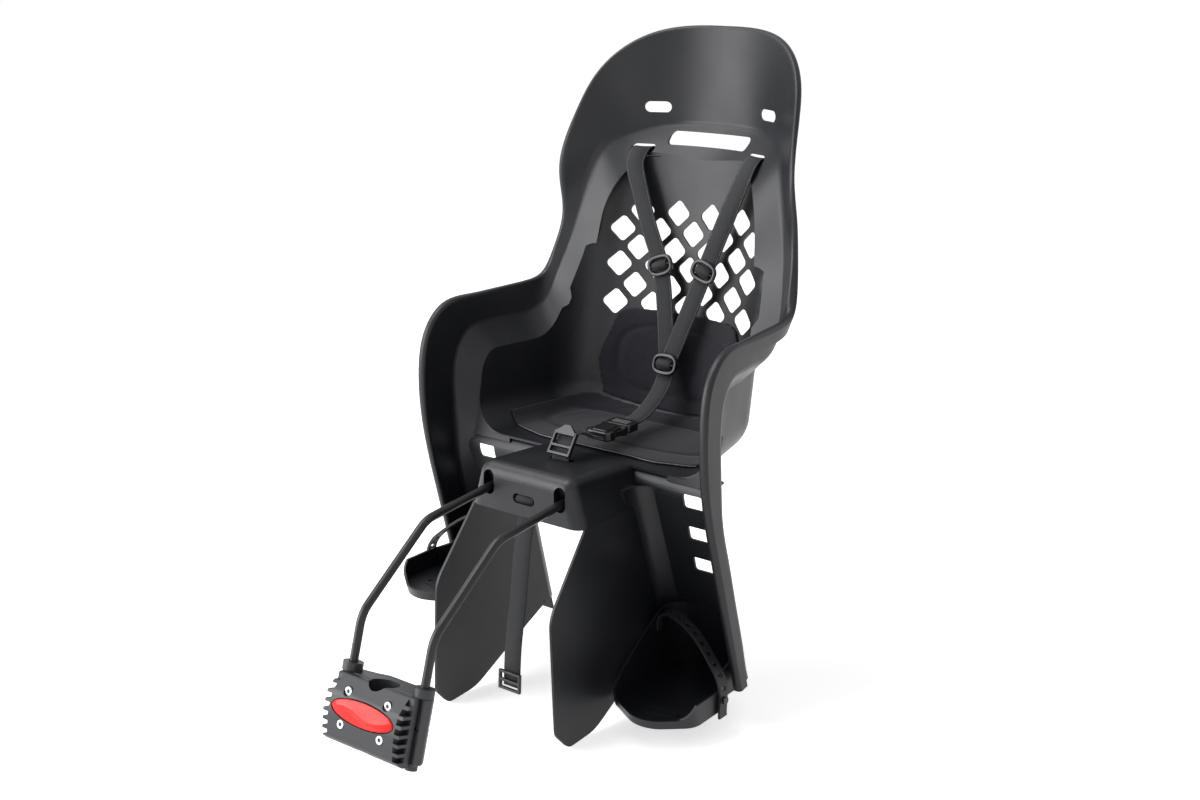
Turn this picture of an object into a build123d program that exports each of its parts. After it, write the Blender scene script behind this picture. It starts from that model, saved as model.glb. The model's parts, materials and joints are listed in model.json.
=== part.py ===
from build123d import *
import math
import os

# Rear child bike seat that hangs from a clamp on the bicycle's seat tube.
# Millimetres, +Z up, -Y forward (towards the rider), +X to the child's left.
# The origin is the centre of the clamp's bore.

# Shell: wall and seat bucket
wall = 3.0
pan_z = 195.0
bucket_back_y = 545.0
back_lean = 0.175
back_radius = 289.0
bucket_half = 176.0
bucket_side_y = 355.0
bucket_taper = 0.226
bucket_corner_radius = 78.0
bucket_floor_radius = 42.0
bucket_mouth_y = 280.0
web_y = 362.0
web_inner_x = 120.0

# Shell: rim, with its rolled nose and outer skirt
rim_lip = 11.0
rim_skirt = 19.0
rim_nose_radius = 1.6
ledge_radius = 9.0
rim_foot = 12.0
room_rise = 6.0
leg_foot = 5.0
section_blend = 0.35

# Shell: heights and depths that the rim runs through
foot_z = -60.0
knee_z = 150.0
arm_z = 362.0
neck_z = 448.0
head_z = 686.0
head_y = 648.0
arm_front_y = 298.0
waist_y = 500.0

# Shell: leg channels
leg_front_y = 352.0
leg_lean = 0.30
leg_corner_x = 185.0
leg_edge_radius = 18.0
leg_inner_radius = 28.0

# Shell: wheel guard tunnel
guard_half_top = 84.0
guard_half_foot = 94.5
guard_lip_z = 150.0
guard_foot_z = -101.0
guard_front_y = 184.0
pommel_z = 207.0
pommel_front_y = 244.0
pommel_half = 68.0
pommel_radius = 16.0
guard_brow_z = 66.0
guard_heel_z = -20.0
guard_join_y = 402.0

# Shell: cut-outs
lattice_side = 26.0
lattice_radius = 6.0
lattice_rows = (
    (454, (-75, -25, 25, 75)), (430, (-98, -49, 0, 49, 98)), (407, (-75, -25, 25, 75)),
    (385, (-98, -49, 0, 49, 98)), (359, (-75, -25, 25, 75)), (336, (-98, -49, 0, 49, 98)),
)
head_slot_x, head_slot_z = 83.0, 582.0
belt_slot_x, belt_slot_z = 85.0, 532.0
window_x, window_top_z, window_pitch = 157.0, 168.0, 43.0
window_count = 3
crotch_slot_y = 316.0
front_slot_z = 171.0

# Carrier bar and the clamp plate under the pan
bar_radius = 5.0
bar_half = 53.0
bar_z = 178.0
bar_end_y = 440.0
bar_bend = 40.0
groove_radius = 5.05
saddle_ys = (326.0, 384.0)
bolt_ys = (340.0, 370.0)
bolt_radius = 3.0
insert_radius = 4.5

# Seat tube clamp, drawn upright and then leaned back with the tube
tube_lean = 17.0
tube_radius = 17.0
clamp_half = 56.0
clamp_top, clamp_foot = 32.6, -42.0
split_front_y, split_rear_y = -4.75, -3.25
socket_y = 4.0
screw_x, screw_z = 29.0, 18.0
button_rx, button_rz = 45.0, 13.0
button_travel = 4.0

# Footrests and their rubber straps
foot_floor_z = -72.0
foot_wall = 3.0
foot_inner_x, foot_outer_x = 100.0, 198.5
foot_gap = 0.5
foot_raise = (0.0, 86.0)
ladder_width, ladder_thickness = 15.0, 3.0
ladder_points = (
    (105, 374, -10), (105.4, 374, 2), (110, 373, 12), (122, 370, 17), (140, 366, 15), (160, 361, 8),
    (180, 355, -4), (198, 349, -19), (211, 344, -32), (217, 341, -46), (217.6, 340, -62), (217.6, 340, -78),
)

# Pads and harness
pad_gap, pad_thickness = 0.4, 5.0
web_width, web_thickness = 25.0, 1.5
keeper_radius = 5.0
adjuster_left_x, adjuster_right_x = 37.0, -29.0
keeper_y, keeper_z = 599.55, 526.0
keeper_turn = 20.7
lower_points = (
    (0, 538, 281), (0, 534, 270), (0, 529, 258), (2, 517, 244.5), (4, 497, 231), (7, 471, 222),
    (8, 452, 218.2), (8, 439, 218),
)
crotch_points = (
    (0, 320.2, 197), (0, 319.6, 192.4), (0, 316, 191), (0, 312.4, 193.5), (0, 312.4, 199), (0, 314, 207),
    (0, 320, 218), (0, 329, 229), (0, 340, 231), (2, 352, 225), (5, 362, 219), (7, 371, 218),
)
safety_points = (
    (0, 254.6, 163), (0, 254.35, 171), (0, 253.2, 173.9), (0, 250.3, 175.05), (0, 247.4, 173.9),
    (0, 246.25, 171), (0, 247.2, 168), (0, 250, 163), (0, 250.4, 154), (0, 248, 143), (0, 243, 125),
    (0, 237, 90), (0, 233, 55), (0, 226, 20), (0, 220, -15), (0, 218, -56),
)


def leg_y(z):
    """Front face of the leg channel's back wall at a height."""
    return leg_front_y + leg_lean * (pan_z - z)


def panel_y(x, z):
    """Front face of the curved back panel."""
    return bucket_back_y + back_lean * (z - pan_z) - back_radius + math.sqrt(back_radius**2 - x**2)


def side_x(y, z):
    """Inner face of the bucket's side wall."""
    return bucket_half - bucket_taper * (y - back_lean * (z - pan_z) - bucket_side_y)


def corner_centre():
    """Centre of the rounded corner between the back panel and the side wall, at pan height."""
    slope = math.hypot(1, bucket_taper)
    middle_y = bucket_back_y - back_radius
    reach = back_radius - bucket_corner_radius
    x0 = bucket_half - bucket_corner_radius * slope - bucket_taper * (middle_y - bucket_side_y)
    b = x0 * bucket_taper / slope**2
    rise = b + math.sqrt(b**2 - (x0**2 - reach**2) / slope**2)
    return x0 - bucket_taper * rise, middle_y + rise


def bucket_y(x, z):
    """Front face of the back panel and of its rounded corners."""
    cx, cy = corner_centre()
    middle_y = bucket_back_y - back_radius
    if x * (cy - middle_y) <= cx * (panel_y(x, pan_z) - middle_y):
        return panel_y(x, z)
    return back_lean * (z - pan_z) + cy + math.sqrt(bucket_corner_radius**2 - (x - cx)**2)


def rim_stations():
    """Nose, outer crease and inner crease of the rim band, from the foot to the crown."""
    leg_count = 6
    stations = []
    for i in range(leg_count):
        z = foot_z + (knee_z - foot_z) * i / (leg_count - 1)
        rise = (z - foot_z) / (knee_z - foot_z)
        stations.append((
            (209.5 - 4.5 * rise, leg_y(z) - 55 + 4 * rise, z),
            (204.5 - 2.5 * rise, leg_y(z) - 17 + 5 * rise, z),
            (leg_corner_x, leg_y(z), z),
        ))
    stations += [
        ((204.5, arm_front_y + 4, 205), (201, 350, 200), (180, 361, 196)),
        ((204, arm_front_y, 285), (200, 347, 258), (side_x(372, 246), 372, 246)),
        ((202, arm_front_y + 12, 332), (198, 354, 296), (side_x(376, 273), 376, 273)),
        ((200, arm_front_y + 40, 357), (196, 372, 318), (side_x(386, 288), 386, 288)),
        ((196, arm_front_y + 88, arm_z), (193, 402, 324), (side_x(405, 293), 405, 293)),
        ((191.5, 438, arm_z + 1), (188, 438, 324), (side_x(436, 295), 436, 295)),
        ((188, 482, arm_z + 2), (182, 476, 325), (side_x(468, 297), 468, 297)),
        ((184.5, waist_y + 10, 370), (176, 502, 337), (side_x(493, 311), 493, 311)),
        ((181, waist_y + 26, 398), (169, 524, 375), (143, bucket_y(143, 352), 352)),
        ((177, 537, neck_z - 14), (159, 543, 425), (134, bucket_y(134, 405), 405)),
        ((172.5, 537, neck_z + 20), (149, 556, 479), (127, bucket_y(127, 455), 455)),
        ((169.5, 533, 515), (136, 571, 530), (115, bucket_y(115, 495), 495)),
        ((161, 552, 578), (119, 592, 546), (99, bucket_y(99, 514), 514)),
        ((146, 580, 629), (97, 615, 555), (80, bucket_y(80, 521), 521)),
        ((97, 622, 674), (57, 636, 561), (47, bucket_y(47, 523), 523)),
        ((0, head_y, head_z), (0, 642, 563), (0, bucket_y(0, 523), 523)),
    ]
    return [tuple(Vector(*point) for point in station) for station in stations]


def offset_line(points, distance):
    """Shift an open line sideways by a distance, with mitred corners."""
    shifted = []
    for i, point in enumerate(points):
        before = (point - points[i - 1]).normalized() if i else None
        after = (points[i + 1] - point).normalized() if i + 1 < len(points) else None
        along = before or after
        if before and after:
            along = (before + after).normalized()
        side = Vector(-along.Y, along.X)
        ease = 1.0
        if before and after:
            ease = Vector(-before.Y, before.X).dot(side)
        shifted.append(point + side * (distance / ease))
    return shifted


def rounded_wire(points, radii):
    """Closed wire through 3-D points in one plane, each corner rounded by its radius."""
    edges, starts = [], []
    count = len(points)
    for i, (point, radius) in enumerate(zip(points, radii)):
        back = (points[i - 1] - point).normalized()
        ahead = (points[(i + 1) % count] - point).normalized()
        if not radius:
            starts.append((point, None, point))
            continue
        half = math.radians(back.get_angle(ahead)) / 2
        reach = radius / math.tan(half)
        middle = point + (back + ahead).normalized() * (radius / math.sin(half) - radius)
        starts.append((point + back * reach, middle, point + ahead * reach))
    for i, (first, middle, last) in enumerate(starts):
        if middle:
            edges.append(ThreePointArc(first, middle, last))
        edges.append(Line(last, starts[(i + 1) % count][0]))
    return Wire(edges)


def strip_face(plane, points, radii, thickness):
    """Closed band of one thickness along the left of an open line in a plane."""
    line = [Vector(*point) for point in points]
    far = offset_line(line, thickness)
    near_radii, far_radii = [], []
    for i, radius in enumerate(radii, start=1):
        before, after = line[i] - line[i - 1], line[i + 1] - line[i]
        left = before.X * after.Y - before.Y * after.X > 0
        near_radii.append(radius + thickness if left else radius)
        far_radii.append(radius if left else radius + thickness)
    outline = [plane.from_local_coords(p) for p in line + far[::-1]]
    all_radii = [0, *near_radii, 0, 0, *far_radii[::-1], 0]
    return Face(rounded_wire(outline, all_radii))


def rim_section(nose, crease, ledge, tangent):
    """Wall section of the rim band: skirt, nose, side band, and a ledge that runs on into the wall."""
    along = (crease - nose).normalized()
    across = tangent - along * tangent.dot(along)
    fold = along.cross((ledge - crease).normalized())
    if fold.dot(across) < 0:
        fold = fold * -1
    plane = Plane(origin=nose, x_dir=along, z_dir=fold + across.normalized() * section_blend)
    crease_2d, ledge_2d = plane.to_local_coords(crease), plane.to_local_coords(ledge)
    ledge_2d = Vector(ledge_2d.X, ledge_2d.Y)
    foot = leg_foot if ledge.Z < pan_z + 5 else rim_foot
    foot_2d = ledge_2d + (ledge_2d - crease_2d).normalized() * foot
    points = [foot_2d, crease_2d, Vector(0, 0), Vector(0, -rim_lip), Vector(rim_skirt, -rim_lip)]
    return strip_face(plane, points, [ledge_radius, rim_nose_radius, rim_nose_radius], wall)


def mirrored(point):
    return Vector(-point.X, point.Y, point.Z)


def side_face(points, radii):
    """Face in the side view from (y, z) points with rounded corners."""
    return Face(rounded_wire([Vector(0, y, z) for y, z in points], radii))


def across(face, half):
    """Extrude a side-view face equally to both sides."""
    return extrude(face, half, dir=(1, 0, 0), both=True)


def half_space():
    """Everything on the child's left."""
    return Pos(500, 500, 200) * Box(1000, 2000, 2000)


def make_rim():
    """Left half of the rim; three stations past the crown keep its middle smooth."""
    half = rim_stations()
    stations = half + [tuple(mirrored(p) for p in s) for s in half[-2:-5:-1]]
    sections = []
    for i, station in enumerate(stations):
        before, after = stations[max(i - 1, 0)][0], stations[min(i + 1, len(stations) - 1)][0]
        sections.append(rim_section(*station, (after - before).normalized()))
    return loft(sections) & half_space()


def bucket_block(grow):
    """Solid of the bucket's inside, grown by a wall thickness on every side but the front."""
    floor_z = pan_z - grow
    shift = back_lean * (floor_z - pan_z)
    back = bucket_back_y + shift + grow
    radius = back_radius + grow
    stretch = grow * math.hypot(1, bucket_taper)

    def side(y):
        return bucket_half + stretch - bucket_taper * (y - shift - bucket_side_y)

    corner_y = back
    for _ in range(30):
        corner_y = back - radius + math.sqrt(radius**2 - side(corner_y)**2)
    front, corner = (side(bucket_mouth_y), bucket_mouth_y), (side(corner_y), corner_y)
    outline = [
        Line((-front[0], front[1]), front),
        Line(front, corner),
        ThreePointArc(corner, (0, back), (-corner[0], corner[1])),
        Line((-corner[0], corner[1]), (-front[0], front[1])),
    ]
    face = make_face(outline)
    face = fillet(face.vertices().sort_by(Axis.Y)[-2:], bucket_corner_radius + grow)
    height = head_z - floor_z
    block = extrude(Pos(0, 0, floor_z) * face, height, dir=(0, back_lean, 1))
    floor = block.faces().sort_by(Axis.Z)[0]
    edges = [e for e in floor.edges() if e.center().Y > bucket_mouth_y + 1]
    return fillet(edges, bucket_floor_radius + grow)


def behind_ledge():
    """Everything behind and below the ledge line, seen from the side."""
    ledge = [(s[2].Y, s[2].Z) for s in rim_stations() if s[2].Z > pan_z + 5]
    line = Spline(*[(0, y, z) for y, z in ledge])
    far_y, low_z = head_y + 100, pan_z - 60
    rest = Polyline((0, *ledge[-1]), (0, far_y, ledge[-1][1]), (0, far_y, low_z),
                    (0, web_y, low_z), (0, web_y, pan_z), (0, *ledge[0]))
    return across(make_face([line, rest]), 300)


def pan_webs(inner):
    """Close the pan's front corners under the rounded sides of the bucket."""
    points = [(web_y - 1, pan_z - 8), (web_y + wall, pan_z - 8), (web_y + 15, 250), (web_y + 9, 250)]
    plate = across(side_face(points, [0, 0, 0, 0]), leg_corner_x + 1)
    return plate - Pos(0, 0, pan_z) * Box(2 * web_inner_x, 2000, 200) - inner


def pommel_block(grow):
    """Hat-shaped solid over the wheel guard, from the front face back to the pan."""
    drop = wall - grow
    faces = []
    for y, top in ((pommel_front_y + drop, pommel_z - drop), (guard_join_y, pan_z - drop)):
        half = [(guard_half_top - drop, guard_lip_z), (pommel_half - drop, top)]
        points = half + [(-x, z) for x, z in half[::-1]]
        radii = [0, pommel_radius - drop, pommel_radius - drop, 0]
        faces.append(Face(rounded_wire([Vector(x, y, z) for x, z in points], radii)))
    block = loft(faces, ruled=True)
    front = block.faces().sort_by(Axis.Y)[0]
    edges = [e for e in front.edges() if e.center().Z > guard_lip_z + 1]
    return fillet(edges, pommel_radius - drop)


def guard_prism(outline, radii, drop):
    """Side-view outline between the flared faces of the two guard plates."""
    low = guard_foot_z - 50
    flare = (guard_half_foot - guard_half_top) / (guard_lip_z - guard_foot_z)
    half = [(guard_half_top - drop + flare * (guard_lip_z - low), low), (guard_half_top - drop, guard_lip_z)]
    points = half + [(-x, z) for x, z in half[::-1]]
    front = make_face(Polyline(*[(x, 0, z) for x, z in points], close=True))
    return across(side_face(outline, radii), 2 * guard_half_foot) & extrude(
        front, 2 * bucket_back_y, dir=(0, 1, 0), both=True)


def guard_outside():
    outline = [
        (guard_join_y, guard_lip_z), (pommel_front_y + pommel_radius / 2, guard_lip_z),
        (guard_front_y, guard_brow_z), (guard_front_y, guard_foot_z + 24),
        (guard_front_y + 22, guard_foot_z), (guard_front_y + 72, guard_foot_z + 2),
        (guard_front_y + 138, guard_foot_z + 36), (leg_y(guard_heel_z), guard_heel_z),
        (leg_y(guard_lip_z - 20), guard_lip_z - 20), (guard_join_y, guard_lip_z - 20),
    ]
    return guard_prism(outline, [0, 0, 40, 14, 18, 60, 60, 12, 0, 0], 0) + pommel_block(wall)


def guard_inside():
    far_low = guard_foot_z - 40
    outline = [(guard_front_y - 60, far_low), (bucket_back_y, far_low),
               (bucket_back_y, guard_lip_z), (guard_front_y - 60, guard_lip_z)]
    return guard_prism(outline, [0, 0, 0, 0], wall) + pommel_block(0)


def leg_wall():
    """Front edge of the pan, rolled down into the two leg channels' back walls."""
    plane = Plane(origin=(0, 0, 0), x_dir=(0, 1, 0), z_dir=(1, 0, 0))
    points = [(guard_join_y, pan_z), (leg_front_y, pan_z), (leg_y(foot_z), foot_z)]
    face = strip_face(plane, points, [leg_edge_radius], wall)
    return across(face, leg_corner_x + 1.5)


def leg_corner(near, outer, low, top, sweep_ends):
    """Ruled solid along a leg channel's rounded inner corner, between two radii or out past the corner."""
    faces = []
    for z in (low, top):
        flare = (guard_half_foot - guard_half_top) / (guard_lip_z - guard_foot_z)
        edge_x, edge_y = guard_half_top + flare * (guard_lip_z - z), leg_y(z)
        cx, cy = edge_x + leg_inner_radius - 1, edge_y - leg_inner_radius + 1
        first, last = [math.radians(a) for a in sweep_ends]

        def at(radius, angle):
            return Vector(cx + radius * math.cos(angle), cy + radius * math.sin(angle), z)

        arc = ThreePointArc(at(near, first), at(near, (first + last) / 2), at(near, last))
        if outer:
            back = ThreePointArc(at(outer, last), at(outer, (first + last) / 2), at(outer, first))
            edges = [arc, Line(arc @ 1, back @ 0), back, Line(back @ 1, arc @ 0)]
        else:
            far_x, far_y = edge_x - wall - 2, edge_y + wall + 4
            rest = Polyline(arc @ 1, (far_x, (arc @ 1).Y, z), (far_x, far_y, z),
                            ((arc @ 0).X, far_y, z), arc @ 0)
            edges = [arc, *rest.edges()]
        faces.append(Face(Wire(edges)))
    return loft(faces, ruled=True)


def corner_band():
    """Wall of the rounded corner, thicker than it ends up."""
    low, top = guard_heel_z - 10, pan_z - leg_edge_radius - 1
    return leg_corner(leg_inner_radius, leg_inner_radius + wall + 2, low, top, (82, 188))


def corner_room():
    """What the rounded corner leaves open on the tunnel's side."""
    low, top = foot_z - 15, pan_z - leg_edge_radius - 4
    return leg_corner(leg_inner_radius + wall, 0, low, top, (95, 175))


def obround(plane, length, height, amount):
    """Slot-shaped prism, equally to both sides of a plane."""
    return extrude(plane * SlotOverall(length, height), amount, both=True)


def facing(x, y, z, turn=0):
    """Plane that faces forward, its local X along the seat's X."""
    return Plane(origin=(x, y, z), x_dir=(1, 0, 0), z_dir=(0, -1, 0)).rotated((0, 0, turn))


def lattice_cuts():
    """Rounded squares on their corners, through the back panel."""
    diamond = RectangleRounded(lattice_side, lattice_side, lattice_radius)
    return [extrude(facing(x, 570, z) * (Rot(0, 0, 45) * diamond), 60, both=True)
            for z, row in lattice_rows for x in row]


def rim_cuts():
    """Slots in the head shield, slots for the shoulder straps and the carry handle."""
    tools = []
    for s in (-1, 1):
        tools.append(obround(facing(s * head_slot_x, 630, head_slot_z), 32, 14, 60))
        tools.append(obround(facing(s * belt_slot_x, 600, belt_slot_z), 30, 10, 30))
    grip = [(-61, 553), (61, 553), (58, 537), (-58, 537)]
    wire = rounded_wire([Vector(x, 620, z) for x, z in grip], [6, 6, 6, 6])
    tools.append(extrude(Face(wire), 40, dir=(0, 1, 0), both=True))
    return tools


def window_cuts():
    """Windows in the leg channels that set the footrests' heights."""
    tools = []
    for s in (-1, 1):
        for i in range(window_count):
            z = window_top_z - i * window_pitch
            window = facing(s * window_x, leg_y(z), z) * RectangleRounded(26, 18, 3)
            tools.append(extrude(window, 15, both=True))
    return tools


def guard_cuts():
    """Holes for the bar, and slots for the crotch strap and the safety strap."""
    tools = []
    for s in (-1, 1):
        hole = Plane(origin=(s * bar_half, 252, 182), x_dir=(0, 0, 1), z_dir=(0, -1, 0))
        tools.append(obround(hole, 30, 16, 20))
    tools.append(obround(Plane((0, crotch_slot_y, 200), x_dir=(1, 0, 0), z_dir=(0, 0, 1)), 34, 10, 15))
    tools.append(obround(facing(0, 245, front_slot_z), 32, 12, 10))
    return tools


def saddle():
    """Ribs and a boss under the pommel that the bar and its plate are drawn up to."""
    low, deep = bar_z + 0.3, 30
    blocks = [Pos(0, sum(bolt_ys) / 2, low + deep / 2) * Box(24, saddle_ys[1] - saddle_ys[0], deep)]
    blocks += [Pos(0, y, low + deep / 2) * Box(132, 6, deep) for y in saddle_ys]
    solid = (blocks[0] + blocks[1:]) & pommel_block(wall / 2)
    cuts = [Pos(s * bar_half, 355, bar_z) * Rot(90, 0, 0) * Cylinder(groove_radius, 100) for s in (-1, 1)]
    cuts += [Pos(0, y, low + 6) * Cylinder(insert_radius + 0.02, 12.1) for y in bolt_ys]
    return solid - cuts


def leaned(shape):
    """From the upright clamp to the seat's frame."""
    return Rot(-tube_lean, 0, 0) * shape


def bar_path():
    foot = leaned(Vertex(bar_half, socket_y, -33)).center()
    top = leaned(Vertex(bar_half, socket_y, 96)).center()
    half = [foot, top, Vector(bar_half, 137, 167), Vector(bar_half, 268, bar_z),
            Vector(bar_half, bar_end_y, bar_z)]
    return FilletPolyline(*half, *[mirrored(p) for p in half[::-1]], radius=bar_bend)


def make_bar():
    path = bar_path()
    bar = sweep(Plane(origin=path @ 0, z_dir=path % 0) * Circle(bar_radius), path=path)
    notches = [leaned(Pos(s * bar_half, socket_y + 4.5, 0) * Box(14, 4, 6)) for s in (-1, 1)]
    return bar - notches


def make_bar_plate():
    top = bar_z - 0.3
    middle = sum(saddle_ys) / 2
    plate = Pos(0, middle, top - 6) * Box(134, saddle_ys[1] - saddle_ys[0] + 14, 12)
    plate = fillet(plate.edges().filter_by(Axis.Z), 8)
    groove = Rot(90, 0, 0) * Cylinder(groove_radius, 120)
    cuts = [Pos(s * bar_half, middle, bar_z) * groove for s in (-1, 1)]
    cuts += [Pos(0, y, top - 6) * Cylinder(bolt_radius + 0.3, 20) for y in bolt_ys]
    return plate - cuts


def make_bar_bolts():
    plate_low = bar_z - 12.3
    bolts = []
    for y in bolt_ys:
        head = Pos(0, y, plate_low - 2.5) * Cylinder(5.5, 5) - Pos(0, y, plate_low - 4) * extrude(
            RegularPolygon(2.9, 6), 2.5, both=True)
        bolts.append(head + Pos(0, y, plate_low + 11) * Cylinder(bolt_radius - 0.02, 22))
    return Compound(bolts)


def make_bar_inserts():
    rings = [Pos(0, y, bar_z + 6.3) * (Cylinder(insert_radius, 12) - Cylinder(bolt_radius + 0.02, 12))
             for y in bolt_ys]
    return Compound(rings)


def clamp_front_face():
    """Side-view outline of the clamp's front half."""
    points = [(split_front_y, clamp_top), (-12, clamp_top), (-26, 14), (-28, -8),
              (-23, -37), (-14, clamp_foot), (split_front_y, clamp_foot)]
    return side_face(points, [0, 5, 14, 30, 9, 5, 0])


def make_clamp_front():
    body = across(clamp_front_face(), clamp_half)
    cuts = [Cylinder(tube_radius, 200)]
    recess = facing(0, -20.5, 0) * Ellipse(button_rx + 1.2, button_rz + 1.2)
    cuts.append(extrude(recess, 30))
    for s in (-1, 1):
        for i in range(7):
            cuts.append(Pos(s * 54, -30, 27.5 - 10 * i) * Box(11, 34, 6.5))
        cuts.append(Pos(s * 32, -12, 0) * Box(9, 24, 4.2))
        for z, seat in ((screw_z, -17.5), (-screw_z, -21.5)):
            turn = Pos(s * screw_x, 0, z) * Rot(90, 0, 0)
            cuts.append(turn * Cylinder(2.8, 120))
            cuts.append(turn * Pos(0, 0, 20 - seat) * Cylinder(5.4, 40))
    return leaned(body - cuts)


def make_clamp_rear():
    half = [(61, split_rear_y), (63, 8), (58, 17), (34, 26), (22, 33)]
    points = half + [(-x, y) for x, y in half[::-1]]
    wire = rounded_wire([Vector(x, y, -40) for x, y in points], [2, 6, 8, 8, 8, 8, 8, 8, 6, 2])
    body = extrude(Face(wire), 73, dir=(0, 0, 1))
    body = fillet([e for e in body.edges() if abs(abs(e.center().Z + 3.5) - 36.5) < 0.1
                   and e.center().Y > split_rear_y + 0.5], 2)
    for s in (-1, 1):
        body += Pos(s * bar_half, socket_y, 37.75) * Cylinder(11.5, 9.5)
        body += Pos(s * bar_half, socket_y, -42) * Cylinder(7, 8)
    cuts = [Cylinder(tube_radius, 200)]
    for s in (-1, 1):
        cuts.append(Pos(s * bar_half, socket_y, 5) * Cylinder(groove_radius, 78))
        cuts.append(Pos(s * 43.5, 7.5, 0) * Box(33, 23, 4.4))
        cuts.append(Pos(s * 32, 17.75, 0) * Rot(90, 0, 0) * Cylinder(4.2, 10.5))
        for z in (-screw_z, screw_z):
            turn = Pos(s * screw_x, 0, z) * Rot(90, 0, 0)
            cuts.append(turn * Cylinder(2.8, 120))
            cuts.append(turn * Pos(0, 0, -40) * extrude(RegularPolygon(4.75, 6), 20, both=True))
    return leaned(body - cuts)


def make_clamp_screws():
    screws = []
    for s in (-1, 1):
        for z, seat in ((screw_z, -17.5), (-screw_z, -21.5)):
            head = Cylinder(4.8, 5) - Pos(0, 0, 2.5) * extrude(RegularPolygon(2.4, 6), 2.6, both=True)
            turn = Pos(s * screw_x, 0, z) * Rot(90, 0, 0)
            length = 24.5 - seat
            screws.append(leaned(turn * (Pos(0, 0, 2.5 - seat) * head + Pos(0, 0, -seat - length / 2)
                                         * Cylinder(2.48, length))))
    return Compound(screws)


def make_clamp_nuts():
    nut = extrude(RegularPolygon(4.6, 6), 2, both=True) - Cylinder(2.52, 10)
    return Compound([leaned(Pos(s * screw_x, 22.1, z) * Rot(90, 0, 0) * nut)
                     for s in (-1, 1) for z in (-screw_z, screw_z)])


def make_button():
    body = extrude(facing(0, -25.5, 0) * Ellipse(button_rx, button_rz), 5.5)
    body = fillet(body.edges().sort_by(Axis.Y)[0], 2.5)
    return leaned(body)


def make_lock_arm(s):
    """Flat steel arm from the button to a hook behind the bar."""
    arm = Pos(s * 32, -6.25, 0) * Box(8, 38.5, 3) + Pos(s * 46, 9.85, 0) * Box(22, 6.3, 3)
    return leaned(arm)


def make_springs():
    coil = Helix(1.9, 8.6, 3)
    wire = sweep(Plane(origin=coil @ 0, z_dir=coil % 0) * Circle(0.45), path=coil)
    return Compound([leaned(Pos(s * 32, 13.7, 0) * Rot(-90, 0, 0) * wire) for s in (-1, 1)])


def foot_outline(z, inset):
    """Plan of the foot cup at a height, grown inward by an inset."""
    back = leg_y(z) - foot_gap
    points = [(foot_inner_x, back), (foot_inner_x, 284), (165, 246), (214, 288), (214, 350),
              (foot_outer_x, 370), (foot_outer_x, back - 20), (foot_outer_x - 21, back)]
    radii = [leg_inner_radius + 2, 16, 40, 26, 12, 14, 6, 6]
    face = Face(rounded_wire([Vector(x, y, z) for x, y in points], radii))
    return offset(face, -inset) if inset else face


def make_footrest(s):
    lift = Vector(0, -leg_lean, 1)
    cup = extrude(foot_outline(foot_floor_z, 0), 130, dir=lift)
    floor = Pos(0, -leg_lean * foot_wall, foot_wall) * foot_outline(foot_floor_z, foot_wall)
    hollow = extrude(floor, 140, dir=lift)
    side = [(230, -90), (230, -61), (276, -61), (300, -36), (340, -8), (375, 13), (412, 26), (450, 26),
            (450, -90)]
    keep = across(side_face(side, [0, 0, 8, 20, 20, 20, 0, 0, 0]), 300)
    low = [(200, -45), (345, -45), (415, -20), (415, 60), (200, 60)]
    notch = extrude(side_face(low, [0, 10, 0, 0, 0]), 60, dir=(1, 0, 0))
    cup = (cup - hollow) & keep
    cup -= Pos(190, 0, 0) * notch
    ring = SlotOverall(52, 16) - SlotOverall(46, 10)
    cup += extrude(Pos(160, 294, foot_floor_z + foot_wall) * Rot(0, 0, 10) * ring, 1.2)
    stem = Pos(foot_inner_x + foot_wall, 374, -2) * Rot(0, 90, 0)
    cup -= stem * Cylinder(2.3, 20)
    cup -= Pos(212, 340, -56) * Rot(0, 90, 0) * Cylinder(2.3, 20)
    return mirror(cup, Plane.YZ) if s < 0 else cup


def band(points, width, thickness, side, steps, start_side=None):
    """Flat strap along a smooth line, its width along a side direction that can differ at the start."""
    line = Spline(*points)
    faces = []
    for i in range(steps + 1):
        share = max(0, 1 - i / steps / 0.35) if start_side else 0
        across_dir = Vector(*side) * (1 - share) + Vector(*(start_side or side)) * share
        ahead = line % (i / steps)
        flat = across_dir - ahead * across_dir.dot(ahead)
        plane = Plane(origin=line @ (i / steps), x_dir=flat.normalized(), z_dir=ahead)
        faces.append(plane * Rectangle(width, thickness))
    return loft(faces)


def make_ladder_strap(s):
    strap = band(ladder_points, ladder_width, ladder_thickness, (0, 1, 0), 16)
    line = Spline(*ladder_points)
    for i in range(11):
        t = 0.13 + 0.076 * i
        ahead = line % t
        flat = Vector(0, 1, 0) - ahead * ahead.Y
        hole = Plane(origin=line @ t, x_dir=flat.normalized(), z_dir=ahead.cross(flat))
        strap -= extrude(hole * RectangleRounded(8, 5, 1.2), 6, both=True)
    strap -= Pos(105, 374, -2) * Rot(0, 90, 0) * Cylinder(2.4, 12)
    strap -= Pos(217, 340, -56) * Rot(0, 90, 0) * Cylinder(2.4, 12)
    return mirror(strap, Plane.YZ) if s < 0 else strap


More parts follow.
